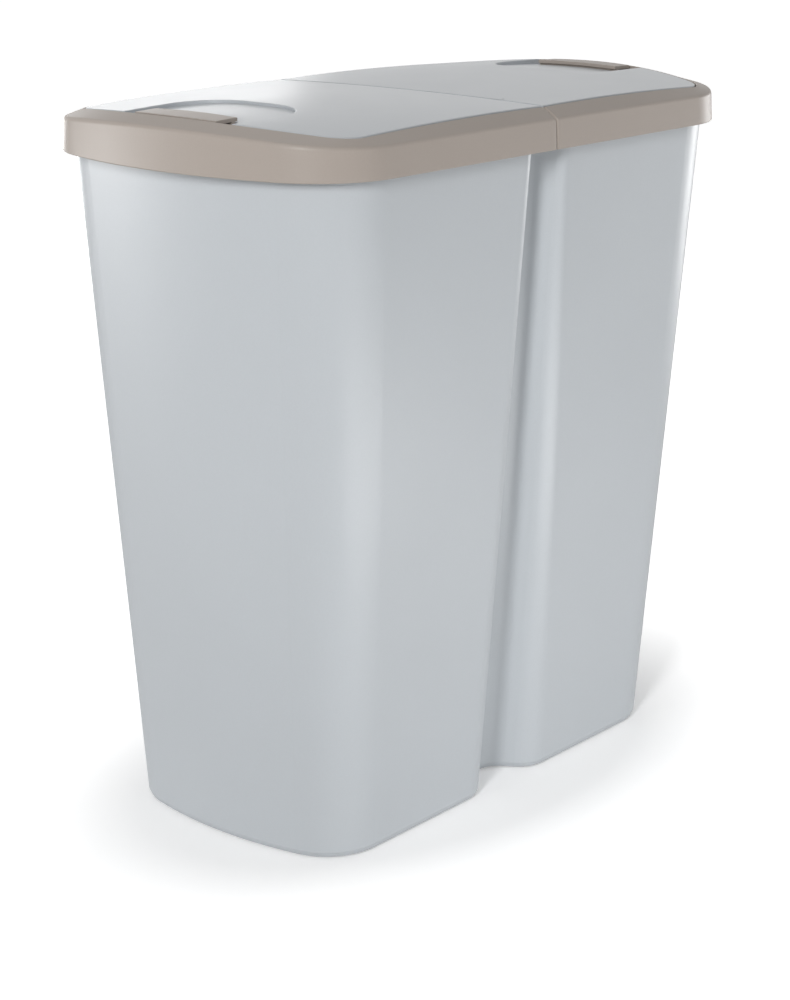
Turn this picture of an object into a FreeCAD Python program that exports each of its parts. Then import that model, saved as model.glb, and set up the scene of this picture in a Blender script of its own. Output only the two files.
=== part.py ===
import FreeCAD, Part
import math
import os
import re

import Sketcher
from FreeCAD import Placement, Rotation, Vector

# Double recycling bin: one waisted tub with two compartments, a rim frame that lifts off it, and
# two domed flaps that hinge back to back beside the middle of the frame, each with a press tab.
# Millimetres, +Z up, long side along X, origin at the middle of the base on the floor.
# Pieces of the right-hand bin are drawn at +X; the left-hand ones are the same pieces turned
# half a turn about Z.

SIZES = [
    # rim frame, outside
    ("rim_half_length", 245.0),
    ("rim_half_width", 134.0),
    ("rim_corner", 62.0),
    ("rim_end_radius", 305.0),
    ("skirt_overlap", 6.0),
    ("skirt_depth", 20.5),
    ("skirt_arch", 7.0),
    ("skirt_draft", 1.3),
    ("frame_wall", 2.5),
    ("seat_play", 0.3),
    ("mark_width", 2.1),
    # lid opening in the frame, and the domed surface that frame and flaps share
    ("shoulder_length", 15.7),
    ("shoulder_width", 13.0),
    ("lid_corner", 27.5),
    ("lid_end_radius", 234.0),
    ("lid_rise", 8.3),
    ("dome_end_fall", 5.0),
    ("dome_long_crown", 2.35),
    ("dome_mid_crown", 2.0),
    ("dome_end_crown", 7.5),
    # ledge under the flaps and the throats that lead into the tub
    ("ledge_over_rim", 14.0),
    ("ledge_width", 9.5),
    ("ledge_thick", 2.5),
    ("lip_depth", 31.0),
    ("throat_corner", 20.0),
    ("throat_inner_corner", 5.0),
    ("bar_half_width", 24.0),
    ("ridge_drop", 6.0),
    # tub
    ("tub_height", 472.0),
    ("tub_wall", 3.0),
    ("tub_floor", 3.5),
    ("divider", 3.2),
    ("base_half_length", 198.4),
    ("base_half_width", 100.4),
    ("base_corner", 43.5),
    ("base_end_radius", 296.5),
    ("rim_overhang_length", 12.0),
    ("rim_overhang_width", 6.6),
    ("top_corner", 56.0),
    ("top_end_radius", 372.5),
    ("foot_round", 5.0),
    # waist in the middle of each long side of the tub
    ("waist_turn", 58.0),
    ("waist_base_depth", 27.0),
    ("waist_top_depth", 21.0),
    ("waist_base_mouth", 30.0),
    ("waist_top_mouth", 18.0),
    ("waist_base_mouth_round", 24.0),
    ("waist_top_mouth_round", 10.0),
    ("waist_base_root_round", 20.0),
    ("waist_top_root_round", 8.0),
    # flaps
    ("seam_gap", 2.0),
    ("lid_gap", 1.0),
    ("flap_lift", 0.5),
    ("flap_skin", 2.2),
    ("recess_length", 82.3),
    ("recess_half_width", 52.0),
    ("recess_mouth_half_width", 45.0),
    ("recess_round", 34.0),
    ("recess_step", 1.7),
    ("recess_dip", 1.6),
    # flap hinges
    ("hinge_offset", 14.0),
    ("hinge_drop", 4.0),
    ("hinge_station", 60.0),
    ("hinge_pin_radius", 2.0),
    ("hinge_pin_spare", 6.4),
    ("pin_play", 0.08),
    ("post_width", 8.0),
    ("post_wall", 1.4),
    ("ear_wall", 1.8),
    ("ear_width", 4.0),
    ("ear_play", 0.4),
    ("swing_play", 0.4),
    # press tabs
    ("tab_length", 23.3),
    ("tab_half_width", 36.0),
    ("tab_gap", 1.0),
    ("tab_rise", 0.25),
    ("tab_end_gap", 0.3),
    ("tab_thick", 2.4),
    ("tab_pivot_inset", 3.5),
    ("tab_pivot_drop", 1.1),
    ("tab_pin_radius", 1.5),
    ("tab_pin_spare", 0.3),
    ("tab_barrel_wall", 1.2),
    ("tab_arm_half_width", 12.0),
    ("tab_arm_thick", 2.5),
    ("tab_arm_drop", 10.0),
    ("tab_nose_thick", 3.5),
    ("catch_reach", 4.0),
    ("catch_spare", 2.0),
    ("latch_clearance", 0.9),
    # length by which a cutting shape runs past the face that it opens
    ("past", 30.0),
]

# Sizes that follow from the ones above, as words of the sheet.
DERIVED = {
    "skirt_low": "tub_height - skirt_overlap",
    "skirt_high": "skirt_low + skirt_depth",
    "seat_height": "tub_height + seat_play",
    "ledge_height": "tub_height + ledge_over_rim",
    "ledge_under": "ledge_height - ledge_thick",
    "dome_side_height": "ledge_height + lid_rise",
    "throat_low": "ledge_height - lip_depth",
    "bar_top": "ledge_height - flap_lift",
    "bar_ridge": "ledge_height - ridge_drop",
    "flap_low": "ledge_height + flap_lift",
    "above_lid": "dome_side_height + past",
    "lid_half_length": "rim_half_length - shoulder_length",
    "lid_half_width": "rim_half_width - shoulder_width",
    "top_half_length": "rim_half_length - rim_overhang_length",
    "top_half_width": "rim_half_width - rim_overhang_width",
    "past_end": "rim_half_length + past",
    "recess_reach": "lid_half_length - recess_length",
    "hinge_height": "dome_side_height - hinge_drop",
    "hinge_bore": "hinge_pin_radius + pin_play",
    "post_radius": "hinge_pin_radius + post_wall",
    "ear_radius": "hinge_pin_radius + ear_wall",
    "hinge_pin_length": "post_width + 2 * ear_play + 2 * ear_width + hinge_pin_spare",
    "swing_radius": "hinge_offset + swing_play",
    "sweep_radius": "hinge_offset - 0.75 * swing_play",
    "tab_inner": "lid_half_length - tab_length",
    "tab_pivot": "tab_inner + tab_pivot_inset",
    "tab_pivot_height": "dome_side_height - tab_pivot_drop",
    "tab_bore": "tab_pin_radius + pin_play",
    "tab_barrel_radius": "tab_pin_radius + tab_barrel_wall",
    "tab_arm_low": "ledge_height - tab_arm_drop",
    "tab_nose_high": "tab_arm_low + tab_nose_thick",
    "throat_half_length": "lid_half_length - ledge_width",
    "throat_half_width": "lid_half_width - ledge_width",
    "throat_end_radius": "lid_end_radius - ledge_width",
    "catch_half_width": "tab_arm_half_width + catch_spare",
    "tab_pin_length": "2 * (tab_half_width + tab_gap + flap_skin + tab_pin_spare)",
}

DOME_ROWS = 7
DOME_COLUMNS = 9
EDGE_POINTS = 7
WALL_STEPS = 6

doc = FreeCAD.newDocument("double_recycling_bin")


def make_sheet():
    sheet = doc.addObject("Spreadsheet::Sheet", "Sizes")
    for row, (alias, value) in enumerate(SIZES, start=1):
        sheet.set(f"A{row}", alias)
        sheet.set(f"B{row}", str(value))
        sheet.setAlias(f"B{row}", alias)
    doc.recompute()
    return sheet


sheet = make_sheet()


def cell(word):
    """Expression of a size: a cell of the sheet, or what it follows from."""
    if word not in DERIVED:
        return f"Sizes.{word}"
    terms = re.split(r"([A-Za-z_]+)", DERIVED[word])
    return "(" + "".join(cell(term) if term[:1].isalpha() else term for term in terms) + ")"


def value(expression):
    return float(sheet.evalExpression(expression))


def size(word):
    return value(cell(word))


# ---------------------------------------------------------------- sketch outlines

def left_of(direction):
    return Vector(-direction.y, direction.x, 0)


def corner_centre(before, after, radius, turn):
    """Centre of the arc that rounds the corner between two edges.

    An edge is ("line", start, direction) or ("bow", centre, radius); turn is +1 where the
    outline turns left, on the inside of a convex corner, and -1 in a hollow one.
    """
    if before[0] == "line" and after[0] == "line":
        first = before[1] + left_of(before[2]) * (radius * turn)
        second = after[1] + left_of(after[2]) * (radius * turn)
        across = before[2].x * after[2].y - before[2].y * after[2].x
        gap = second - first
        along = (gap.x * after[2].y - gap.y * after[2].x) / across
        return first + before[2] * along
    line, bow = (before, after) if before[0] == "line" else (after, before)
    start = line[1] + left_of(line[2]) * radius
    reach = bow[2] - radius
    from_bow = start - bow[1]
    half = from_bow.dot(line[2])
    root = math.sqrt(half * half - from_bow.dot(from_bow) + reach * reach)
    ends = [start + line[2] * (-half - root), start + line[2] * (-half + root)]
    return ends[1] if before[0] == "line" else ends[0]


def contact(edge, centre):
    """Where a corner arc with this centre meets the edge."""
    if edge[0] == "line":
        return edge[1] + edge[2] * (centre - edge[1]).dot(edge[2])
    towards = centre - edge[1]
    towards.normalize()
    return edge[1] + towards * edge[2]


def ccw_arc(centre, radius, start, end):
    first = math.atan2(start.y - centre.y, start.x - centre.x)
    last = math.atan2(end.y - centre.y, end.x - centre.x)
    if last <= first:
        last += 2 * math.pi
    circle = Part.Circle(centre, Vector(0, 0, 1), radius)
    return Part.ArcOfCircle(circle, first, last)


def draw_outline(sketch, corners, bows=None):
    """Closed outline, anticlockwise, every size bound to an expression.

    corners: (x, y, radius) expressions, radius None for a sharp corner.
    bows: edge number -> (centre x, radius) of an arc centred on the sketch's X axis, which
    takes the place of the straight edge from that corner to the next.
    """
    bows = bows or {}
    count = len(corners)
    points = [Vector(value(x), value(y), 0) for x, y, _ in corners]
    edges = []
    for index in range(count):
        if index in bows:
            middle, radius = bows[index]
            edges.append(("bow", Vector(value(middle), 0, 0), value(radius)))
        else:
            heading = points[(index + 1) % count] - points[index]
            heading.normalize()
            edges.append(("line", points[index], heading))

    arcs = []
    joins = []
    for index, (_, _, radius) in enumerate(corners):
        before = edges[index - 1]
        after = edges[index]
        if radius is None:
            arcs.append(None)
            joins.append((points[index], points[index]))
            continue
        turn = 1
        if before[0] == "line" and after[0] == "line":
            turn = math.copysign(1, before[2].x * after[2].y - before[2].y * after[2].x)
        centre = corner_centre(before, after, value(radius), turn)
        arcs.append((centre, turn))
        joins.append((contact(before, centre), contact(after, centre)))

    edge_ids = []
    for index, edge in enumerate(edges):
        start = joins[index][1]
        end = joins[(index + 1) % count][0]
        if edge[0] == "line":
            edge_ids.append(sketch.addGeometry(Part.LineSegment(start, end)))
        else:
            edge_ids.append(sketch.addGeometry(ccw_arc(edge[1], edge[2], start, end)))

    def bind(constraint, expression):
        number = sketch.addConstraint(constraint)
        sketch.setExpression(f"Constraints[{number}]", expression)

    def place_point(index):
        mark = sketch.addGeometry(Part.Point(points[index]), True)
        x, y, _ = corners[index]
        bind(Sketcher.Constraint("DistanceX", -1, 1, mark, 1, points[index].x), x)
        bind(Sketcher.Constraint("DistanceY", -1, 1, mark, 1, points[index].y), y)
        return mark

    marks = [place_point(index) for index in range(count)]
    for index, edge in enumerate(edges):
        if edge[0] == "line":
            for mark in (marks[index], marks[(index + 1) % count]):
                sketch.addConstraint(Sketcher.Constraint("PointOnObject", mark, 1, edge_ids[index]))
        else:
            middle, radius = bows[index]
            curve = edge_ids[index]
            sketch.addConstraint(Sketcher.Constraint("PointOnObject", curve, 3, -1))
            bind(Sketcher.Constraint("DistanceX", -1, 1, curve, 3, edge[1].x), middle)
            bind(Sketcher.Constraint("Radius", curve, edge[2]), radius)

    for index, arc in enumerate(arcs):
        before = edge_ids[index - 1]
        after = edge_ids[index]
        if arc is None:
            sketch.addConstraint(Sketcher.Constraint("Coincident", before, 2, after, 1))
            continue
        centre, turn = arc
        radius = value(corners[index][2])
        start, end = joins[index] if turn > 0 else joins[index][::-1]
        curve = sketch.addGeometry(ccw_arc(centre, radius, start, end))
        first, last = (1, 2) if turn > 0 else (2, 1)
        sketch.addConstraint(Sketcher.Constraint("Tangent", before, 2, curve, first))
        sketch.addConstraint(Sketcher.Constraint("Tangent", curve, last, after, 1))
        bind(Sketcher.Constraint("Radius", curve, radius), corners[index][2])


def origin_plane(body, role):
    return next(item for item in body.Origin.OriginFeatures if item.Role == role)


def body_sketch(body, name, height):
    """Sketch on the body's XY plane, raised to a height."""
    sketch = body.newObject("Sketcher::SketchObject", name)
    sketch.AttachmentSupport = (origin_plane(body, "XY_Plane"), [""])
    sketch.MapMode = "FlatFace"
    sketch.setExpression("AttachmentOffset.Base.z", height)
    return sketch


def loft(body, kind, name, sketches):
    feature = body.newObject(kind, name)
    feature.Profile = sketches[0]
    feature.Sections = sketches[1:]
    feature.Ruled = True
    for sketch in sketches:
        sketch.Visibility = False
    return feature


def bowed_outline(half_length, half_width, corner, end_radius, inset="0"):
    """Corners and bows of a rounded rectangle whose short ends are bowed outward."""
    reach = f"({cell(half_length)} - {inset})"
    side = f"({cell(half_width)} - {inset})"
    rounding = f"({cell(corner)} - {inset})"
    middle = f"({cell(half_length)} - {cell(end_radius)})"
    corners = [
        (reach, f"-{side}", rounding),
        (reach, side, rounding),
        (f"-{reach}", side, rounding),
        (f"-{reach}", f"-{side}", rounding),
    ]
    bow_radius = f"({cell(end_radius)} - {inset})"
    return corners, {0: (middle, bow_radius), 2: (f"-{middle}", bow_radius)}


def half_outline(inner, half_length, half_width, corner, end_radius, inner_corner):
    """The same outline for one bin: a straight inner edge, and the bowed end at +X."""
    corners = [
        (half_length, f"-{half_width}", corner),
        (half_length, half_width, corner),
        (inner, half_width, inner_corner),
        (inner, f"-{half_width}", inner_corner),
    ]
    return corners, {0: (f"({half_length} - {end_radius})", end_radius)}


def prism(name, corners, bows, low, high):
    """Upright solid on an outline, from one height to another."""
    sketch = doc.addObject("Sketcher::SketchObject", name + "_outline")
    sketch.setExpression("Placement.Base.z", low)
    draw_outline(sketch, corners, bows)
    sketch.Visibility = False
    solid = doc.addObject("Part::Extrusion", name)
    solid.Base = sketch
    solid.DirMode = "Normal"
    solid.Solid = True
    solid.setExpression("LengthFwd", f"{high} - ({low})")
    return solid


def rectangle(x_low, x_high, y_half):
    return [(x_low, f"-({y_half})", None), (x_high, f"-({y_half})", None),
            (x_high, y_half, None), (x_low, y_half, None)]


def rod(name, x, height, y_middle, length, radius):
    """Round bar along Y, centred on y_middle."""
    bar = doc.addObject("Part::Cylinder", name)
    bar.setExpression("Radius", radius)
    bar.setExpression("Height", length)
    bar.Placement = Placement(Vector(), Rotation(Vector(1, 0, 0), -90))
    bar.setExpression("Placement.Base.x", x)
    bar.setExpression("Placement.Base.y", f"{y_middle} - ({length}) / 2")
    bar.setExpression("Placement.Base.z", height)
    return bar


def block(name, x, y_middle, z, length, width, height):
    """Box that starts at x and z and is centred on y_middle."""
    box = doc.addObject("Part::Box", name)
    box.setExpression("Length", length)
    box.setExpression("Width", width)
    box.setExpression("Height", height)
    box.setExpression("Placement.Base.x", x)
    box.setExpression("Placement.Base.y", f"{y_middle} - {width} / 2")
    box.setExpression("Placement.Base.z", z)
    return box


def fuse(name, shapes):
    joined = doc.addObject("Part::MultiFuse", name)
    joined.Shapes = shapes
    joined.Refine = True
    return joined


def cut(name, base, tool):
    result = doc.addObject("Part::Cut", name)
    result.Base = base
    result.Tool = tool
    return result


def common(name, first, second):
    result = doc.addObject("Part::Common", name)
    result.Base = first
    result.Tool = second
    return result


# ---------------------------------------------------------------- tub

def tub_at(height, low, high):
    """A tub size at a height, on the straight draft from base to top."""
    return f"({cell(low)} + ({cell(high)} - {cell(low)}) * ({height}) / {cell('tub_height')})"


def tub_section(height):
    """Expressions of the tub's outside at one height."""
    turn = f"({cell('waist_turn')} * 1 deg)"
    at = {
        "length": tub_at(height, "base_half_length", "top_half_length"),
        "width": tub_at(height, "base_half_width", "top_half_width"),
        "corner": tub_at(height, "base_corner", "top_corner"),
        "end": tub_at(height, "base_end_radius", "top_end_radius"),
        "mouth": tub_at(height, "waist_base_mouth", "waist_top_mouth"),
        "depth": tub_at(height, "waist_base_depth", "waist_top_depth"),
        "mouth_round": tub_at(height, "waist_base_mouth_round", "waist_top_mouth_round"),
        "root_round": tub_at(height, "waist_base_root_round", "waist_top_root_round"),
    }
    at["tan"] = f"tan({turn})"
    at["sin"] = f"sin({turn})"
    at["back"] = f"({at['mouth']} - {at['depth']} / {at['tan']})"
    return at


def tub_outside(height, inset="0"):
    """Outline of the tub with the waist in both long sides, set in by inset.

    The waist's flanks keep one direction all the way up, so each of them is a plane.
    """
    at = tub_section(height)
    length = f"({at['length']} - {inset})"
    width = f"({at['width']} - {inset})"
    corner = f"({at['corner']} - {inset})"
    end = f"({at['end']} - {inset})"
    shift = f"({inset} / {at['sin']} - {inset} / {at['tan']})"
    mouth = f"({at['mouth']} + {shift})"
    back = f"({at['back']} + {shift})"
    root = f"({width} - {at['depth']})"
    mouth_round = f"({at['mouth_round']} - {inset})"
    root_round = f"({at['root_round']} + {inset})"
    corners = []
    for side, other in (("", "-"), ("-", "")):
        corners += [
            (f"{side}{length}", f"{other}{width}", corner),
            (f"{side}{length}", f"{side}{width}", corner),
            (f"{side}{mouth}", f"{side}{width}", mouth_round),
            (f"{side}{back}", f"{side}{root}", root_round),
            (f"{other}{back}", f"{side}{root}", root_round),
            (f"{other}{mouth}", f"{side}{width}", mouth_round),
        ]
    middle = f"({length} - {end})"
    return corners, {0: (middle, end), 6: (f"-{middle}", end)}


def tub_inside(height):
    """One compartment at +X: the outside set in by the wall, up to the divider."""
    at = tub_section(height)
    wall = cell("tub_wall")
    face = f"({cell('divider')} / 2)"
    side = f"({at['width']} - {wall})"
    mouth = f"({at['mouth']} - {wall} / {at['tan']} + {wall} / {at['sin']})"
    root = f"({at['width']} - {at['depth']}"
    root += f" + ({face} - {at['back']} - {wall} / {at['sin']}) * {at['tan']})"
    length = f"({at['length']} - {wall})"
    corner = f"({at['corner']} - {wall})"
    end = f"({at['end']} - {wall})"
    mouth_round = f"({at['mouth_round']} - {wall})"
    corners = [
        (length, f"-{side}", corner),
        (length, side, corner),
        (mouth, side, mouth_round),
        (face, root, wall),
        (face, f"-{root}", wall),
        (mouth, f"-{side}", mouth_round),
    ]
    return corners, {0: (f"({length} - {end})", end)}


def wall_levels():
    """Heights of the sections that the long drafted walls are divided at."""
    return [f"({cell('tub_height')} * {step} / {WALL_STEPS})" for step in range(1, WALL_STEPS + 1)]


def make_tub():
    body = doc.addObject("PartDesign::Body", "tub")
    body.Label = "tub"
    foot = cell("foot_round")
    half_way = f"({foot} * (1 - sqrt(0.5)))"
    levels = [("0", foot), (half_way, half_way), (foot, "0")]
    levels += [(height, "0") for height in wall_levels()]
    sections = []
    for number, (height, inset) in enumerate(levels, start=1):
        section = body_sketch(body, f"tub_section_{number}", height)
        draw_outline(section, *tub_outside(height, inset))
        sections.append(section)
    loft(body, "PartDesign::AdditiveLoft", "tub_outside", sections)
    doc.recompute()

    sections = []
    for number, height in enumerate([cell("tub_floor")] + wall_levels(), start=1):
        section = body_sketch(body, f"right_room_section_{number}", height)
        draw_outline(section, *tub_inside(height))
        sections.append(section)
    room = loft(body, "PartDesign::SubtractiveLoft", "right_room", sections)
    doc.recompute()

    mirrored = body.newObject("PartDesign::Mirrored", "left_room")
    mirrored.Originals = [room]
    mirrored.MirrorPlane = (origin_plane(body, "YZ_Plane"), [""])
    body.Tip = mirrored
    doc.recompute()
    return body


# ---------------------------------------------------------------- domed lid surface

def dome_height(x, y, drop=0.0):
    """Height of the lid surface: it falls to the corners and is crowned both ways."""
    along = abs(x) / size("lid_half_length")
    across = y / size("lid_half_width")
    side = size("dome_side_height") - size("dome_end_fall") * along
    side += size("dome_long_crown") * 4 * along * (1 - along)
    crown = size("dome_mid_crown") + size("dome_end_crown") * along
    return side + crown * (1 - across * across) - drop


def make_dome_block(name, drop, dip=0.0):
    """Solid under the lid surface at +X, lowered by drop, and by dip more towards the end."""
    far = size("rim_half_length")
    side = size("rim_half_width")
    start = size("recess_reach")
    span = size("tab_inner") - start
    rows = []
    for column in range(DOME_COLUMNS):
        x = far * column / (DOME_COLUMNS - 1)
        lower = drop + dip * (x - start) / span
        row = []
        for step in range(DOME_ROWS):
            y = side * (2 * step / (DOME_ROWS - 1) - 1)
            row.append(Vector(x, y, dome_height(x, y, lower)))
        rows.append(row)
    surface = Part.BSplineSurface()
    surface.interpolate(rows)
    depth = size("dome_side_height") - size("skirt_low")
    block = doc.addObject("Part::Feature", name)
    block.Shape = surface.toShape().extrude(Vector(0, 0, -depth))
    return block


# ---------------------------------------------------------------- rim frame

def ring_points(half_length, half_width, corner, end_radius):
    """A rounded rectangle with bowed ends as eight functions of 0..1, anticlockwise.

    They start at the bowed end at +X: end, corner, long side, corner, and the same again
    after half a turn.
    """
    bow = Vector(half_length - end_radius, 0, 0)
    reach = end_radius - corner
    rise = half_width - corner
    centre = Vector(bow.x + math.sqrt(reach * reach - rise * rise), rise, 0)
    swing = math.atan2(centre.y, centre.x - bow.x)

    def on_arc(middle, radius, angle):
        return middle + Vector(math.cos(angle), math.sin(angle), 0) * radius

    def end(share):
        return on_arc(bow, end_radius, swing * (2 * share - 1))

    def near_corner(share):
        return on_arc(centre, corner, swing + (math.pi / 2 - swing) * share)

    def side(share):
        return Vector(centre.x * (1 - 2 * share), half_width, 0)

    def far_corner(share):
        point = near_corner(1 - share)
        return Vector(-point.x, point.y, 0)

    half = [end, near_corner, side, far_corner]
    return half + [lambda share, part=part: part(share) * -1 for part in half]


def ring_edges(parts, height):
    """Edges of the closed curve that follows an outline at a height(x, y)."""
    ends = []
    for part in parts:
        point = part(0)
        ends.append(Vector(point.x, point.y, height(point.x, point.y)))
    edges = []
    for index, part in enumerate(parts):
        points = [ends[index]]
        for step in range(1, EDGE_POINTS - 1):
            point = part(step / (EDGE_POINTS - 1))
            points.append(Vector(point.x, point.y, height(point.x, point.y)))
        points.append(ends[(index + 1) % len(parts)])
        curve = Part.BSplineCurve()
        curve.interpolate(points)
        edges.append(curve.toShape())
    return edges


def make_shoulder():
    """Closed band from the skirt's lower edge up the skirt and over the chamfer to the lid."""
    half_length = size("rim_half_length")
    half_width = size("rim_half_width")
    corner = size("rim_corner")
    end_radius = size("rim_end_radius")
    draft = size("skirt_draft")
    outer = ring_points(half_length, half_width, corner, end_radius)
    brow = ring_points(half_length - draft, half_width - draft, corner - draft,
                       end_radius - draft)
    lid = ring_points(size("lid_half_length"), size("lid_half_width"),
                      size("lid_corner"), size("lid_end_radius"))
    low = size("skirt_low")
    high = size("skirt_high")
    arch = size("skirt_arch")

    def flat(x, y):
        return low

    def arched(x, y):
        return high + arch * (1 - (y / half_width) ** 2)

    rings = [
        ring_edges(outer, flat),
        ring_edges(brow, arched),
        ring_edges(lid, dome_height),
        ring_edges(lid, flat),
    ]
    faces = []
    for below, above in zip(rings, rings[1:] + rings[:1]):
        for first, second in zip(below, above):
            faces.append(Part.makeRuledSurface(first, second))
    shell = Part.makeShell(faces)
    shell.sewShape()
    solid = Part.makeSolid(shell)
    if solid.Volume < 0:
        solid.reverse()
    band = doc.addObject("Part::Feature", "shoulder")
    band.Shape = solid
    return band


def both_sides(name, solid):
    """The piece and its twin, turned half a turn about Z, as one shape."""
    doc.recompute()
    shape = solid.Shape.copy()
    shape.rotate(Vector(), Vector(0, 0, 1), 180)
    twin = doc.addObject("Part::Feature", name + "_twin")
    twin.Shape = shape
    return fuse(name, [solid, twin])


def throat_outline(grow="0"):
    """One throat at +X, grown outward by a wall where grow is set."""
    return half_outline(
        f"({cell('bar_half_width')} - {grow})",
        f"({cell('throat_half_length')} + {grow})",
        f"({cell('throat_half_width')} + {grow})",
        f"({cell('throat_corner')} + {grow})",
        f"({cell('throat_end_radius')} + {grow})",
        f"({cell('throat_inner_corner')} + {grow})")


def make_catch():
    """Lip on the throat's end wall, just outboard of the press tab's nose."""
    edge = cell("throat_half_length")
    inner = f"({edge} - {cell('catch_reach')})"
    outer = f"({edge} + {cell('frame_wall')} / 2)"
    return prism("catch", rectangle(inner, outer, cell("catch_half_width")), None,
                 cell("ledge_under"), cell("ledge_height"))


def make_posts():
    """Hinge posts on the bar, outboard of the room that the flap's rear edge swings through."""
    posts = []
    for side, sign in (("front", "-"), ("back", "")):
        middle = f"{sign}{cell('hinge_station')}"
        posts.append(rod(f"{side}_knuckle", cell("hinge_offset"), cell("hinge_height"), middle,
                         cell("post_width"), cell("post_radius")))
        posts.append(block(f"{side}_stem", cell("hinge_offset"), middle, cell("bar_ridge"),
                           cell("post_radius"), cell("post_width"),
                           f"({cell('hinge_height')} - {cell('bar_ridge')})"))
    return fuse("post_pair", posts)


def make_swing_room():
    """Quarter-round trough that the flap's rear edge swings down into, over the lid's width."""
    radius = cell("swing_radius")
    width = f"(2 * {cell('lid_half_width')} + {cell('swing_play')})"
    lap = f"(-{cell('swing_play')} / 4)"
    drum = rod("swing_drum", cell("hinge_offset"), cell("hinge_height"), "0", width, radius)
    half = block("swing_half", lap, "0", f"({cell('hinge_height')} - {radius})",
                 radius, width, f"(2 * {radius})")
    ridge = block("ridge_room", lap, "0", cell("bar_ridge"), f"({cell('hinge_offset')} / 2)",
                  width, f"({cell('ledge_height')} - {cell('bar_ridge')})")
    return fuse("swing_room", [common("swing_quarter", drum, half), ridge])


def make_side_marks():
    """Shallow V-grooves down the middle of each long side of the skirt and over the chamfer."""
    marks = []
    width = cell("mark_width")
    for side, sign in (("front", -1), ("back", 1)):
        mark = doc.addObject("Part::Box", f"{side}_mark")
        mark.setExpression("Length", width)
        mark.setExpression("Width", width)
        mark.setExpression("Height", f"{cell('dome_side_height')} - {cell('skirt_low')}")
        lean = math.degrees(math.atan2(size("skirt_draft"), size("skirt_depth")))
        mark.Placement = Placement(Vector(), Rotation(Vector(1, 0, 0), sign * lean)
                                   * Rotation(Vector(0, 0, 1), 45))
        mark.setExpression("Placement.Base.y",
                           f"{sign} * ({cell('rim_half_width')}) - {width} / sqrt(2)")
        mark.setExpression("Placement.Base.z", cell("skirt_low"))
        marks.append(mark)
    return fuse("side_marks", marks)


def make_frame():
    low = f"({cell('skirt_low')} - {cell('past')})"
    wall = cell("frame_wall")
    channel = prism("channel", *bowed_outline("rim_half_length", "rim_half_width", "rim_corner",
                                              "rim_end_radius",
                                              f"({cell('skirt_draft')} + {wall})"),
                    low, cell("seat_height"))
    ledge = prism("ledge_plate", *bowed_outline("lid_half_length", "lid_half_width",
                                                "lid_corner", "lid_end_radius",
                                                f"(-{wall} / 4)"),
                  cell("ledge_under"), cell("ledge_height"))
    bar = prism("bar", rectangle(f"-{cell('bar_half_width')}", cell("bar_half_width"),
                                 f"({cell('lid_half_width')} + {wall} / 4)"), None,
                cell("seat_height"), cell("bar_top"))
    lips = both_sides("lips", prism("lip", *throat_outline(wall), cell("throat_low"),
                                    cell("ledge_height")))
    throats = both_sides("throats", prism("throat", *throat_outline(), low,
                                          cell("above_lid")))
    shell = fuse("frame_solid", [cut("hollow_shoulder", make_shoulder(), channel),
                                 ledge, lips, bar])
    opened = cut("frame_open", shell, throats)
    cleared = cut("frame_cleared", opened, both_sides("swings", make_swing_room()))
    dressed = fuse("frame_dressed", [cleared, both_sides("catches", make_catch()),
                                     both_sides("posts", make_posts())])
    bored = cut("frame_bored", dressed,
                both_sides("post_bores", hinge_bores("post", cell("hinge_pin_length"))))
    frame = cut("rim_frame", bored, make_side_marks())
    frame.Label = "rim_frame"
    return frame


def hinge_bores(name, length):
    """Bores for a flap's two hinge pins, at +X."""
    return fuse(f"{name}_hinge_bores", [
        rod(f"{name}_{side}_bore", cell("hinge_offset"), cell("hinge_height"),
            f"{sign}{cell('hinge_station')}", length, cell("hinge_bore"))
        for side, sign in (("front", "-"), ("back", ""))])


# ---------------------------------------------------------------- flaps

def lid_half(inner, inset="0"):
    """Outline of one lid half inside the frame's opening, set in by inset."""
    room = f"({cell('lid_gap')} + {inset})"
    return half_outline(inner, f"({cell('lid_half_length')} - {room})",
                        f"({cell('lid_half_width')} - {room})",
                        f"({cell('lid_corner')} - {room})",
                        f"({cell('lid_end_radius')} - {room})", None)


def recess_outline(grow="0"):
    """Finger recess: straight sides from the end, spreading to a round inner end."""
    reach = f"({cell('recess_reach')} - {grow})"
    wide = f"({cell('recess_half_width')} + {grow})"
    mouth = f"({cell('recess_mouth_half_width')} + {grow})"
    rounding = f"({cell('recess_round')} + {grow})"
    far = cell("past_end")
    return [(far, f"-{mouth}", None), (far, mouth, None), (reach, wide, rounding),
            (reach, f"-{wide}", rounding)]


def tab_outline(grow="0"):
    return rectangle(f"({cell('tab_inner')} - {grow})", cell("past_end"),
                     f"({cell('tab_half_width')} + {grow})")


def make_ears(name):
    """Two pairs of hinge ears under the skin, one each side of each post."""
    ears = []
    reach = f"({cell('post_width')} / 2 + {cell('ear_play')} + {cell('ear_width')} / 2)"
    rise = f"({cell('dome_side_height')} - {cell('hinge_height')})"
    for side, sign in (("front", "-"), ("back", "")):
        for place, step in (("near", "-"), ("far", "+")):
            middle = f"({sign}{cell('hinge_station')} {step} {reach})"
            label = f"{name}_{side}_{place}"
            ears.append(rod(f"{label}_ear", cell("hinge_offset"), cell("hinge_height"),
                            middle, cell("ear_width"), cell("ear_radius")))
            ears.append(block(f"{label}_web", f"({cell('hinge_offset')} - {cell('ear_radius')})",
                              middle, cell("hinge_height"), f"(2 * {cell('ear_radius')})",
                              cell("ear_width"), rise))
    return fuse(f"{name}_ear_set", ears)


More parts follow.
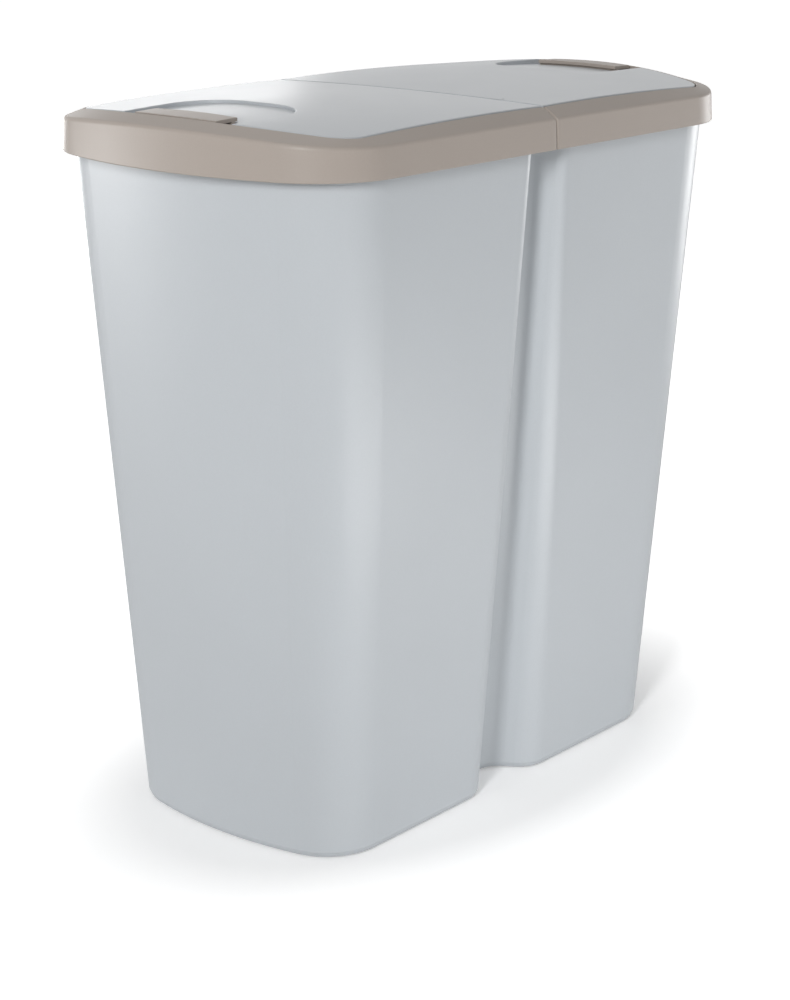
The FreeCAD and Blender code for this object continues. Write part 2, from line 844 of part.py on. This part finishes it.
def make_flap(side, angle):
    """Domed tray with a finger recess and a notch for the press tab, hung on four ears."""
    name = f"{side}_flap"
    low = cell("flap_low")
    below = f"({low} - 1)"
    high = cell("above_lid")
    skin = cell("flap_skin")
    step = size("recess_step")
    dip = size("recess_dip")
    top = make_dome_block(f"{name}_top", 0.0)
    dish = make_dome_block(f"{name}_dish", step, dip)
    under = make_dome_block(f"{name}_under", size("flap_skin"))
    dish_under = make_dome_block(f"{name}_dish_under", step + size("flap_skin"), dip)

    plan = prism(f"{name}_plan", *lid_half(f"({cell('seam_gap')} / 2)"), low, high)
    whole = common(f"{name}_whole", plan, top)
    scoop = cut(f"{name}_scoop", prism(f"{name}_recess", recess_outline(), None, low, high), dish)
    notch = prism(f"{name}_notch", tab_outline(cell("tab_gap")), None, below, high)
    outside = cut(f"{name}_outside", cut(f"{name}_scooped", whole, scoop), notch)

    room_plan = prism(f"{name}_room_plan", *lid_half(f"({cell('seam_gap')} / 2 + {skin})", skin),
                      below, high)
    dish_plan = prism(f"{name}_dish_plan", recess_outline(skin), None, below, high)
    notch_walls = prism(f"{name}_notch_walls", tab_outline(f"({cell('tab_gap')} + {skin})"), None,
                        below, high)
    room = cut(f"{name}_room_low", common(f"{name}_room", room_plan, under),
               cut(f"{name}_dish_room", dish_plan, dish_under))
    tray = cut(f"{name}_tray", outside, cut(f"{name}_room_cut", room, notch_walls))

    width = f"(2 * {cell('lid_half_width')})"
    rear_room = block(f"{name}_rear_room", "0", "0", below,
                      f"({cell('hinge_offset')} + {cell('ear_radius')})", width,
                      f"({cell('hinge_height')} + 1 - {below})")
    sweep = rod(f"{name}_sweep", cell("hinge_offset"), cell("hinge_height"), "0", width,
                cell("sweep_radius"))
    rear_box = block(f"{name}_rear_box", "0", "0", cell("hinge_height"),
                     cell("hinge_offset"), width, cell("past"))
    rear_corner = cut(f"{name}_rear_corner", rear_box, sweep)
    trimmed = cut(f"{name}_trimmed", cut(f"{name}_rear_cut", tray, rear_room), rear_corner)
    eared = fuse(f"{name}_eared", [trimmed, common(f"{name}_ears", make_ears(name), top)])
    tab_bore = rod(f"{name}_bore_tab", cell("tab_pivot"), cell("tab_pivot_height"), "0",
                   f"({cell('tab_pin_length')})", cell("tab_bore"))
    flap = cut(name, eared, fuse(f"{name}_bores",
                                 [hinge_bores(name, cell("hinge_pin_length")), tab_bore]))
    flap.Placement = Placement(Vector(), Rotation(Vector(0, 0, 1), angle))
    flap.Label = name
    return flap


def make_hinge_pin(side, place, sign, turned):
    name = f"{side}_hinge_pin_{place}"
    pin = rod(name, f"{turned} * {cell('hinge_offset')}", cell("hinge_height"),
              f"{sign} * {cell('hinge_station')}", cell("hinge_pin_length"),
              cell("hinge_pin_radius"))
    pin.Label = name
    return pin


# ---------------------------------------------------------------- press tabs

def make_tab(side, angle):
    """Plate flush with the lid, a barrel on its pin, and an arm with a nose by the catch."""
    name = f"{side}_press_tab"
    high = cell("above_lid")
    low = f"({cell('ledge_height')} + 1)"
    pivot = cell("tab_pivot")
    pivot_height = cell("tab_pivot_height")
    half_width = cell("tab_half_width")
    arm_half = f"({cell('tab_arm_thick')} / 2)"
    top = make_dome_block(f"{name}_top", -size("tab_rise"))
    under = make_dome_block(f"{name}_under", size("tab_thick") - size("tab_rise"))
    plan = common(f"{name}_plan", prism(f"{name}_box", tab_outline(), None, low, high),
                  prism(f"{name}_lid_plan", *lid_half("0", cell("tab_end_gap")), low, high))
    plate = cut(f"{name}_plate", common(f"{name}_domed", plan, top), under)
    barrel = rod(f"{name}_barrel", pivot, pivot_height, "0", f"(2 * {half_width})",
                 cell("tab_barrel_radius"))
    web = prism(f"{name}_web", rectangle(f"({pivot} - {arm_half})", f"({pivot} + {arm_half})",
                                         half_width), None, pivot_height, high)
    arm = prism(f"{name}_arm", rectangle(f"({pivot} - {arm_half})", f"({pivot} + {arm_half})",
                                         cell("tab_arm_half_width")), None,
                cell("tab_arm_low"), pivot_height)
    tip = f"({cell('throat_half_length')} - {cell('catch_reach')} - {cell('latch_clearance')})"
    nose = prism(f"{name}_nose", rectangle(f"({pivot} - {arm_half})", tip,
                                           cell("tab_arm_half_width")), None,
                 cell("tab_arm_low"), cell("tab_nose_high"))
    solid = fuse(f"{name}_solid", [plate, barrel, common(f"{name}_web_cut", web, top), arm, nose])
    tab = cut(name, solid, rod(f"{name}_bore", pivot, pivot_height, "0",
                               cell("tab_pin_length"), cell("tab_bore")))
    tab.Placement = Placement(Vector(), Rotation(Vector(0, 0, 1), angle))
    tab.Label = name
    return tab


def make_tab_pin(side, turned):
    name = f"{side}_tab_pin"
    pin = rod(name, f"{turned} * {cell('tab_pivot')}", cell("tab_pivot_height"), "0",
              cell("tab_pin_length"), cell("tab_pin_radius"))
    pin.Label = name
    return pin


# ---------------------------------------------------------------- build, check and write

def make_all():
    parts = [make_tub(), make_frame()]
    for side, turned, angle in (("right", 1, 0), ("left", -1, 180)):
        parts.append(make_flap(side, angle))
        parts.append(make_hinge_pin(side, "front", -1, turned))
        parts.append(make_hinge_pin(side, "back", 1, turned))
        parts.append(make_tab(side, angle))
        parts.append(make_tab_pin(side, turned))
    return parts


parts = make_all()
doc.recompute()

failed = [item.Label for item in doc.Objects
          if "Invalid" in item.State or "Error" in item.State]
if failed:
    raise RuntimeError(f"features that failed: {failed}")
for item in parts:
    if item.Shape.isNull() or not item.Shape.isValid():
        raise RuntimeError(f"{item.Label} has no valid shape")
    if len(item.Shape.Solids) != 1:
        raise RuntimeError(f"{item.Label} is {len(item.Shape.Solids)} solids")

os.makedirs("parts", exist_ok=True)
for item in parts:
    item.Shape.exportStep(f"parts/{item.Label}.step")
    box = item.Shape.BoundBox
    print(f"{item.Label}: {item.Shape.Volume / 1000:.1f} cm3,"
          f" x {box.XMin:.1f}..{box.XMax:.1f}, y {box.YMin:.1f}..{box.YMax:.1f},"
          f" z {box.ZMin:.1f}..{box.ZMax:.1f}")
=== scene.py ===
"""Double recycling bin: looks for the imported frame. Metres, same axes as the CAD."""

import math

import bmesh
import bpy
from mathutils import Matrix, Vector
from mathutils.kdtree import KDTree


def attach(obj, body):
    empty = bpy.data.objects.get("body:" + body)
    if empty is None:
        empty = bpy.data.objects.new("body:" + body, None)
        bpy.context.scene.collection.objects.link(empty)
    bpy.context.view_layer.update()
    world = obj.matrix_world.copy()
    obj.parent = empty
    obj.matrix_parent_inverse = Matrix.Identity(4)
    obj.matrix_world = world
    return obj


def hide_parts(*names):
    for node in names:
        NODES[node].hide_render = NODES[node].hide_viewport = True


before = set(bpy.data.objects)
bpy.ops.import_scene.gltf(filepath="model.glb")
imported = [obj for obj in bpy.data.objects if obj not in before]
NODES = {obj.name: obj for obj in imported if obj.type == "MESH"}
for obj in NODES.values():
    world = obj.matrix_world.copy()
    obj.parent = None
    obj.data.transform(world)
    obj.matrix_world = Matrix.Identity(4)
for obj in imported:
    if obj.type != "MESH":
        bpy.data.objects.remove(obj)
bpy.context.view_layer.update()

# ---------------------------------------------------------------- named values

CAMERA_AT = (-1.2410, -1.0356, 0.6795)
CAMERA_AIM = (0.0, 0.0, 0.24775)
CAMERA_ROLL = math.radians(0.23)
LENS = 82.58
SHIFT = (-0.00803, -0.0685)
SENSOR, CLIP_START, CLIP_END = 36, 0.05, 60

# colour, roughness, strength of the mould grain, specular level
TUB_FINISH = (0.50, 0.528, 0.553), 0.38, 0.04, 0.5
FLAP_FINISH = (0.48, 0.505, 0.53), 0.30, 0.0, 0.5
TAUPE_FINISH = (0.385, 0.338, 0.302), 0.42, 0.10, 0.3
PLASTIC_IOR = 1.49
# scale and detail of each noise: slow flow marks, fine flecks, uneven gloss, mould grain
FLOW_NOISE, FLECK_NOISE, GLOSS_NOISE = (5, 3), (900, 2, 0.6), (35, 2)
GRAIN_NOISE, GRAIN_DEPTH = (1500, 3, 0.65), 0.0001
FLOW_DARK, FLOW_LIGHT, FLECK_DARK, GLOSS_SWING = 0.985, 1.015, 0.975, 0.05

STEEL, STEEL_DARK, STEEL_LIGHT = (0.55, 0.55, 0.57), 0.85, 1.1
STEEL_SMOOTH, STEEL_ROUGH, STEEL_STREAKS = 0.25, 0.42, (900, 30, 900)

# name, azimuth in degrees, height, distance, size, watts
LAMPS = (("key", 204, 1.45, 2.6, (0.40, 0.9), 41),
         ("rear_left", 121, 0.15, 2.6, (1.2, 0.4), 23),
         ("edge_left", 66, 0.15, 2.6, (1.0, 0.4), 9),
         ("rear_right", 350, 0.30, 1.9, (0.7, 0.6), 9),
         ("low_fill", 274, 0.04, 0.68, (0.8, 0.06), 1.7),
         ("back_high", 54, 0.80, 2.6, (0.9, 0.35), 2.4),
         ("top", 60, 2.4, 0.8, (1.2, 1.2), 3))
LAMP_AIM = (0, 0, 0.27)
WORLD_LIGHT = 0.26

FLOOR_SIZE, FLOOR_DROP, FLOOR_PAINT = 14, 0.0002, 0.88
# the floor's glow for the camera: beside the bin and far off, and where it starts and ends to
# rise, as distances on an oval round the bin
GLOW_NEAR, GLOW_FAR = 0.24, 0.8
GLOW_START, GLOW_STOP = 0.235, 0.40
GLOW_OVAL = (1.0, 1.6, 1.0)

# the frame's outside, as in the CAD: length and width are half sizes
RIM_LENGTH, RIM_WIDTH, RIM_CORNER, RIM_END = 0.245, 0.134, 0.062, 0.305
LID_LENGTH, LID_WIDTH, LID_CORNER, LID_END = 0.2293, 0.121, 0.0275, 0.234
SKIRT_LOW, SKIRT_HIGH, SKIRT_ARCH, SKIRT_DRAFT = 0.466, 0.4865, 0.007, 0.0013
LID_SIDE, LEDGE, SEAT = 0.4943, 0.486, 0.4723
FRAME_WALL = 0.0025
# the lid's dome: its fall to the ends, and its crowns along the sides, across the middle
# and across the ends
END_FALL, SIDE_CROWN, MIDDLE_CROWN, END_CROWN = 0.005, 0.00235, 0.002, 0.0075

# the groove in the middle of each long side
MARK_HALF, MARK_DEPTH = 0.0015, 0.0019
# over the chamfer it is shallower sideways and cuts down as well
MARK_EASE, MARK_DIP, MARK_TURN = 0.45, 0.8, 0.004

# radii of rounded edges, and the number of steps in one
FOOT_ROUND, BROW_ROUND, LIP_ROUND = 0.0009, 0.0032, 0.0008
FLAP_ROUND, TAB_ROUND = 0.0008, 0.0005
SKIN_STEPS, EDGE_STEPS = 6, 4
END_STEPS, CORNER_STEPS, SIDE_STEPS = 24, 14, 60

# how far the points of a long side are spread evenly, where the rest crowd in its middle
EVEN_SHARE = 0.12
# a lid piece: what lies above FLAP_FOOT follows the dome, and a grid divides it
FLAP_FOOT = 0.4868
TOP_BAND = 0.0004
GRID, GRID_START, GRID_NEAR = 0.006, 0.0007, 1e-6

# angles in degrees: flat faces that are joined, edges that are rounded, edges kept crisp
FRAME_FLAT, LID_FLAT, ROUND_OVER, CREASE = 1, 1.2, 25, 30
# tolerances in metres
WELD, FLAT_PLAY, OPENING_PLAY, MARK_PLAY, SEAT_PLAY = 0.00001, 0.0001, 0.0003, 0.0002, 0.001

# ---------------------------------------------------------------- node helpers


def new_tree(name):
    material = bpy.data.materials.new(name)
    material.use_nodes = True
    tree = material.node_tree
    tree.nodes.clear()
    return material, tree


def add(tree, kind, **values):
    node = tree.nodes.new(kind)
    for key, value in values.items():
        setattr(node, key, value)
    return node


def noise(tree, vector, scale, detail, rough=0.5):
    node = add(tree, "ShaderNodeTexNoise")
    node.inputs["Scale"].default_value = scale
    node.inputs["Detail"].default_value = detail
    node.inputs["Roughness"].default_value = rough
    tree.links.new(vector, node.inputs["Vector"])
    return node.outputs["Fac"]


def ranged(tree, value, low, high, start=0.3, stop=0.7):
    node = add(tree, "ShaderNodeMapRange")
    for key, number in (("From Min", start), ("From Max", stop), ("To Min", low),
                        ("To Max", high)):
        node.inputs[key].default_value = number
    tree.links.new(value, node.inputs["Value"])
    return node.outputs["Result"]


def mixed(tree, factor, first, second):
    node = add(tree, "ShaderNodeMix", data_type="RGBA")
    node.inputs["A"].default_value = (*first, 1)
    node.inputs["B"].default_value = (*second, 1)
    tree.links.new(factor, node.inputs["Factor"])
    return node.outputs["Result"]


def times(tree, first, second):
    node = add(tree, "ShaderNodeMix", data_type="RGBA", blend_type="MULTIPLY")
    node.inputs["Factor"].default_value = 1.0
    tree.links.new(first, node.inputs["A"])
    tree.links.new(second, node.inputs["B"])
    return node.outputs["Result"]


def shade(colour, amount):
    return tuple(min(1, part * amount) for part in colour)


def plastic(name, finish):
    """Moulded plastic: faint flow variation, fine mould grain, uneven gloss."""
    colour, gloss, grain, specular = finish
    material, tree = new_tree(name)
    where = add(tree, "ShaderNodeTexCoord").outputs["Object"]
    shader = add(tree, "ShaderNodeBsdfPrincipled")
    out = add(tree, "ShaderNodeOutputMaterial")
    tone = mixed(tree, ranged(tree, noise(tree, where, *FLOW_NOISE), 0, 1),
                 shade(colour, FLOW_DARK), shade(colour, FLOW_LIGHT))
    fleck = ranged(tree, noise(tree, where, *FLECK_NOISE), 0, 1)
    tone = times(tree, tone, mixed(tree, fleck, (FLECK_DARK,) * 3, (1.0,) * 3))
    tree.links.new(tone, shader.inputs["Base Color"])
    swing = GLOSS_SWING * gloss
    uneven = ranged(tree, noise(tree, where, *GLOSS_NOISE), gloss - swing, gloss + swing,
                    0.2, 0.8)
    tree.links.new(uneven, shader.inputs["Roughness"])
    bump = add(tree, "ShaderNodeBump")
    bump.inputs["Strength"].default_value = grain
    bump.inputs["Distance"].default_value = GRAIN_DEPTH
    tree.links.new(noise(tree, where, *GRAIN_NOISE), bump.inputs["Height"])
    tree.links.new(bump.outputs["Normal"], shader.inputs["Normal"])
    shader.inputs["IOR"].default_value = PLASTIC_IOR
    shader.inputs["Specular IOR Level"].default_value = specular
    tree.links.new(shader.outputs["BSDF"], out.inputs["Surface"])
    return material


def drawn_steel(name):
    """Drawn wire, with fine streaks along it."""
    material, tree = new_tree(name)
    where = add(tree, "ShaderNodeTexCoord").outputs["Object"]
    shader = add(tree, "ShaderNodeBsdfPrincipled")
    out = add(tree, "ShaderNodeOutputMaterial")
    streak = add(tree, "ShaderNodeMapping")
    streak.inputs["Scale"].default_value = STEEL_STREAKS
    tree.links.new(where, streak.inputs["Vector"])
    lines = noise(tree, streak.outputs["Vector"], 1, 3)
    tone = mixed(tree, lines, shade(STEEL, STEEL_DARK), shade(STEEL, STEEL_LIGHT))
    tree.links.new(tone, shader.inputs["Base Color"])
    tree.links.new(ranged(tree, lines, STEEL_SMOOTH, STEEL_ROUGH), shader.inputs["Roughness"])
    shader.inputs["Metallic"].default_value = 1.0
    tree.links.new(shader.outputs["BSDF"], out.inputs["Surface"])
    return material


# ---------------------------------------------------------------- shared forms


def dome(x, y):
    """Height of the lid surface over a point."""
    along = min(1.0, abs(x) / LID_LENGTH)
    across = min(1.0, abs(y) / LID_WIDTH)
    side = LID_SIDE - END_FALL * along + SIDE_CROWN * 4 * along * (1 - along)
    return side + (MIDDLE_CROWN + END_CROWN * along) * (1 - across * across)


def end_arcs(length, width, corner, end):
    """Centre of the bowed end, centre of the corner and the angle where the two arcs meet."""
    bow = length - end
    rise = width - corner
    centre = bow + math.sqrt((end - corner) ** 2 - rise * rise)
    return bow, centre, rise, math.atan2(rise, centre - bow)


def ring(length, width, corner, end):
    """Points of a rounded rectangle with bowed ends, anticlockwise from the end at +X."""
    bow, centre, rise, swing = end_arcs(length, width, corner, end)
    half = []
    for step in range(END_STEPS):
        turn = swing * (2 * step / END_STEPS - 1)
        half.append((bow + end * math.cos(turn), end * math.sin(turn)))
    for step in range(CORNER_STEPS):
        turn = swing + (math.pi / 2 - swing) * step / CORNER_STEPS
        half.append((centre + corner * math.cos(turn), rise + corner * math.sin(turn)))
    for step in range(SIDE_STEPS):
        half.append((centre * side_place(1 - 2 * step / SIDE_STEPS), width))
    for step in range(CORNER_STEPS):
        turn = swing + (math.pi / 2 - swing) * (1 - step / CORNER_STEPS)
        half.append((-centre - corner * math.cos(turn), rise + corner * math.sin(turn)))
    return half + [(-x, -y) for x, y in half]


def inset_ring(inset):
    """The frame's outline, moved inwards."""
    return ring(RIM_LENGTH - inset, RIM_WIDTH - inset, RIM_CORNER - inset, RIM_END - inset)


def side_place(share):
    """Spreads the points of a long side so that they crowd in its middle."""
    return EVEN_SHARE * share + (1 - EVEN_SHARE) * share ** 3


def linked(name, data):
    obj = bpy.data.objects.new(name, data)
    bpy.context.scene.collection.objects.link(obj)
    return obj


def new_object(name, form, material):
    mesh = bpy.data.meshes.new(name)
    form.to_mesh(mesh)
    form.free()
    mesh.materials.append(material)
    return linked(name, mesh)


def finish_piece(name, form, material, node, body):
    """Makes the form a smooth piece that stands for a node and rides on its body."""
    obj = new_object(name, form, material)
    smooth(obj)
    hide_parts(node)
    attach(obj, body)


def copy_of(node):
    """The node's mesh as a form to work on, with its split corners joined."""
    form = bmesh.new()
    form.from_mesh(NODES[node].data)
    bmesh.ops.remove_doubles(form, verts=form.verts, dist=WELD)
    bmesh.ops.dissolve_degenerate(form, edges=form.edges, dist=WELD)
    form.normal_update()
    return form


def join_flat(form, angle):
    """Joins neighbouring faces that lie in one plane."""
    bmesh.ops.dissolve_limit(form, angle_limit=math.radians(angle), verts=form.verts,
                             edges=form.edges)


def smooth(obj):
    """Smooth faces with crisp edges where it turns sharply, and even normals."""
    for face in obj.data.polygons:
        face.use_smooth = True
    form = bmesh.new()
    form.from_mesh(obj.data)
    for edge in form.edges:
        edge.smooth = len(edge.link_faces) != 2 or edge.calc_face_angle(0) < math.radians(CREASE)
    form.to_mesh(obj.data)
    form.free()
    normals = obj.modifiers.new("normals", "WEIGHTED_NORMAL")
    normals.keep_sharp = True
    normals.weight = 50


# ---------------------------------------------------------------- rim frame


def arch(y):
    """Height of the skirt's top line."""
    return SKIRT_HIGH + SKIRT_ARCH * (1 - min(1.0, abs(y) / RIM_WIDTH) ** 2)


def skin_profile(outer, brow, lid, inner):
    """Rounded cross-section of the frame's skin at one station, from inside the skirt's foot
    up and over to the inside of the lid opening."""
    foot = [Vector((*inner, SKIRT_LOW)), Vector((*outer, SKIRT_LOW))]
    top = Vector((*brow, arch(brow[1])))
    lip = Vector((*lid, dome(*lid)))
    down = Vector((*lid, LEDGE))
    corners = [(foot[0], None), (foot[1], FOOT_ROUND), (top, BROW_ROUND), (lip, LIP_ROUND),
               (down, None)]
    points = []
    for index, (point, radius) in enumerate(corners):
        if radius is None:
            points.append(point)
            continue
        before = (corners[index - 1][0] - point).normalized()
        after = (corners[index + 1][0] - point).normalized()
        half = before.angle(after) / 2
        reach = radius / math.tan(half)
        start, stop = point + before * reach, point + after * reach
        middle = point + (before + after).normalized() * (radius / math.sin(half))
        for step in range(SKIN_STEPS + 1):
            arm = (start - middle).lerp(stop - middle, step / SKIN_STEPS).normalized() * radius
            points.append(middle + arm)
    return points


def marked(point):
    """Presses the fine groove into the middle of each long side."""
    depth = MARK_DEPTH * min(1.0, max(0.0, 2 - 2 * abs(point.x) / MARK_HALF))
    side = -1 if point.y < 0 else 1
    if depth and abs(point.y) > LID_WIDTH + MARK_PLAY:
        rise = min(1.0, max(0.0, (point.z - SKIRT_HIGH + MARK_TURN / 2) / MARK_TURN))
        return point - Vector((0, side * depth * (1 - MARK_EASE * rise), depth * MARK_DIP * rise))
    return point


def make_skin():
    """The frame's rounded outside: one cross-section at each point of its outline."""
    outer, brow, inner = (inset_ring(inset)
                          for inset in (0, SKIRT_DRAFT, SKIRT_DRAFT + FRAME_WALL))
    lid = ring(LID_LENGTH, LID_WIDTH, LID_CORNER, LID_END)
    form = bmesh.new()
    rows = []
    for station in zip(outer, brow, lid, inner):
        rows.append([form.verts.new(marked(point)) for point in skin_profile(*station)])
    for index, row in enumerate(rows):
        after = rows[(index + 1) % len(rows)]
        for low in range(len(row) - 1):
            form.faces.new((row[low], after[low], after[low + 1], row[low + 1]))
    bmesh.ops.recalc_face_normals(form, faces=form.faces)
    return form


def on_skin(face):
    """True for the CAD faces that the rounded skin takes the place of."""
    corners = [vert.co for vert in face.verts]
    if any(lid_distance(c.x, c.y) < -OPENING_PLAY for c in corners):
        return False
    flat_foot = all(abs(c.z - SKIRT_LOW) < FLAT_PLAY for c in corners)
    return flat_foot or max(c.z for c in corners) > SEAT + SEAT_PLAY


def lid_distance(x, y):
    """How far a point is outside the lid opening's outline, negative inside."""
    x, y = abs(x), abs(y)
    bow, centre, rise, swing = end_arcs(LID_LENGTH, LID_WIDTH, LID_CORNER, LID_END)
    if math.atan2(y, x - bow) <= swing:
        return math.hypot(x - bow, y) - LID_END
    if x > centre:
        return math.hypot(x - centre, y - rise) - LID_CORNER
    return y - LID_WIDTH


def make_frame(material):
    """The frame: its CAD underside, ledge, throats and posts under a rounded outer skin."""
    form = copy_of("rim_frame")
    gone = [face for face in form.faces if on_skin(face)]
    bmesh.ops.delete(form, geom=gone, context="FACES")
    join_flat(form, FRAME_FLAT)
    skin = make_skin()
    spare = bpy.data.meshes.new("skin")
    skin.to_mesh(spare)
    skin.free()
    form.from_mesh(spare)
    bpy.data.meshes.remove(spare)
    finish_piece("frame_moulding", form, material, "rim_frame", "frame_body")


# ---------------------------------------------------------------- flaps and press tabs


def flatten(form):
    """Takes the dome out of a lid piece, so that its faces are plane while they are rounded."""
    lifted = form.verts.layers.float.new("lifted")
    for vert in form.verts:
        if vert.co.z > FLAP_FOOT:
            vert[lifted] = 1
            vert.co.z -= dome(vert.co.x, vert.co.y) - LID_SIDE
    tree = KDTree(len(form.verts))
    for index, vert in enumerate(form.verts):
        tree.insert(vert.co, index)
    tree.balance()
    return tree, [vert[lifted] for vert in form.verts]


def round_top(form, radius):
    """Rounds the edges that lie in the piece's top."""
    form.normal_update()
    top = max(vert.co.z for vert in form.verts)
    edges = [edge for edge in form.edges if len(edge.link_faces) == 2
             and all(vert.co.z > top - TOP_BAND for vert in edge.verts)
             and edge.calc_face_angle(0) > math.radians(ROUND_OVER)]
    bmesh.ops.bevel(form, geom=edges, offset=radius, offset_type="OFFSET", segments=EDGE_STEPS,
                    profile=0.5, affect="EDGES", clamp_overlap=False)


def raise_dome(form, tree, flags):
    """Divides the piece on a fine grid and gives it its dome back."""
    lifted = form.verts.layers.float["lifted"]
    for vert in form.verts:
        vert[lifted] = flags[tree.find(vert.co)[1]]
    for axis, reach in enumerate((LID_LENGTH, LID_WIDTH)):
        for step in range(-int(reach / GRID), int(reach / GRID) + 1):
            spot = Vector((0, 0, 0))
            spot[axis] = step * GRID + GRID_START
            normal = Vector((0, 0, 0))
            normal[axis] = 1
            geom = list(form.verts) + list(form.edges) + list(form.faces)
            bmesh.ops.bisect_plane(form, geom=geom, plane_co=spot, plane_no=normal,
                                   dist=GRID_NEAR)
    for vert in form.verts:
        vert.co.z += vert[lifted] * (dome(vert.co.x, vert.co.y) - LID_SIDE)


def make_lid_piece(node, name, body, material, radius):
    """A flap or press tab with rounded edges and an even dome, from its CAD mesh."""
    form = copy_of(node)
    tree, flags = flatten(form)
    join_flat(form, LID_FLAT)
    round_top(form, radius)
    raise_dome(form, tree, flags)
    finish_piece(name, form, material, node, body)


# ---------------------------------------------------------------- all pieces


def dress(node, material):
    """Gives a CAD node that keeps its mesh its material."""
    obj = NODES[node]
    obj.data.materials.clear()
    obj.data.materials.append(material)


def dress_all():
    tub = plastic("tub_plastic", TUB_FINISH)
    flap = plastic("flap_plastic", FLAP_FINISH)
    taupe = plastic("taupe_plastic", TAUPE_FINISH)
    steel = drawn_steel("pin_wire")
    dress("tub", tub)
    make_frame(taupe)
    for side in ("right", "left"):
        make_lid_piece(f"{side}_flap", f"{side}_flap_moulding", f"{side}_flap_body", flap,
                       FLAP_ROUND)
        make_lid_piece(f"{side}_press_tab", f"{side}_tab_moulding", f"{side}_tab_body", taupe,
                       TAB_ROUND)
        dress(f"{side}_tab_pin", steel)
        for place in ("front", "back"):
            dress(f"{side}_hinge_pin_{place}", steel)


# ---------------------------------------------------------------- studio


def aimed(at, aim):
    """Place and turn of a camera or lamp that looks from one point at another."""
    turn = (Vector(aim) - Vector(at)).to_track_quat("-Z", "Y").to_matrix().to_4x4()
    return Matrix.Translation(at) @ turn


def make_camera():
    data = bpy.data.cameras.new("camera")
    camera = linked("camera", data)
    camera.matrix_world = (aimed(CAMERA_AT, CAMERA_AIM)
                           @ Matrix.Rotation(CAMERA_ROLL, 4, "Z"))
    data.lens = LENS
    data.sensor_width = SENSOR
    data.shift_x, data.shift_y = SHIFT
    data.clip_start, data.clip_end = CLIP_START, CLIP_END
    bpy.context.scene.camera = camera


def make_lamp(name, at, size, power):
    data = bpy.data.lights.new(name, "AREA")
    data.shape = "RECTANGLE"
    data.size, data.size_y = size
    data.energy = power
    lamp = linked(name, data)
    lamp.matrix_world = aimed(at, LAMP_AIM)
    lamp.visible_camera = False


def floor_paint():
    """Pale matt paint that also glows for the camera, more so away from the bin."""
    material, tree = new_tree("floor_white")
    out = add(tree, "ShaderNodeOutputMaterial")
    paint = add(tree, "ShaderNodeBsdfDiffuse")
    paint.inputs["Color"].default_value = (FLOOR_PAINT, FLOOR_PAINT, FLOOR_PAINT, 1)
    glow = add(tree, "ShaderNodeEmission")
    ray = add(tree, "ShaderNodeLightPath")
    where = add(tree, "ShaderNodeTexCoord").outputs["Object"]
    away = add(tree, "ShaderNodeVectorMath", operation="LENGTH")
    oval = add(tree, "ShaderNodeMapping")
    oval.inputs["Scale"].default_value = GLOW_OVAL
    tree.links.new(where, oval.inputs["Vector"])
    tree.links.new(oval.outputs["Vector"], away.inputs[0])
    fade = ranged(tree, away.outputs["Value"], GLOW_NEAR, GLOW_FAR, GLOW_START, GLOW_STOP)
    seen = add(tree, "ShaderNodeMath", operation="MULTIPLY")
    tree.links.new(ray.outputs["Is Camera Ray"], seen.inputs[0])
    tree.links.new(fade, seen.inputs[1])
    tree.links.new(seen.outputs["Value"], glow.inputs["Strength"])
    both = add(tree, "ShaderNodeAddShader")
    tree.links.new(paint.outputs["BSDF"], both.inputs[0])
    tree.links.new(glow.outputs["Emission"], both.inputs[1])
    tree.links.new(both.outputs["Shader"], out.inputs["Surface"])
    return material


def make_floor():
    form = bmesh.new()
    bmesh.ops.create_grid(form, x_segments=1, y_segments=1, size=FLOOR_SIZE)
    floor = new_object("floor", form, floor_paint())
    floor.location.z = -FLOOR_DROP


def make_world():
    """White for the camera and in reflections, a plain soft light on everything else."""
    world = bpy.data.worlds.new("studio")
    world.use_nodes = True
    tree = world.node_tree
    tree.nodes.clear()
    out = add(tree, "ShaderNodeOutputWorld")
    back = add(tree, "ShaderNodeBackground")
    back.inputs["Color"].default_value = (1, 1, 1, 1)
    ray = add(tree, "ShaderNodeLightPath")
    seen = add(tree, "ShaderNodeMath", operation="ADD", use_clamp=True)
    tree.links.new(ray.outputs["Is Camera Ray"], seen.inputs[0])
    tree.links.new(ray.outputs["Is Glossy Ray"], seen.inputs[1])
    level = add(tree, "ShaderNodeMapRange")
    level.inputs["To Min"].default_value = WORLD_LIGHT
    level.inputs["To Max"].default_value = 1.0
    tree.links.new(seen.outputs["Value"], level.inputs["Value"])
    tree.links.new(level.outputs["Result"], back.inputs["Strength"])
    tree.links.new(back.outputs["Background"], out.inputs["Surface"])
    bpy.context.scene.world = world


def make_studio():
    make_world()
    make_floor()
    for name, azimuth, height, away, size, power in LAMPS:
        turn = math.radians(azimuth)
        at = (away * math.cos(turn), away * math.sin(turn), height)
        make_lamp(name, at, size, power)
    make_camera()
    bpy.context.scene.view_settings.view_transform = "Standard"


make_studio()
dress_all()
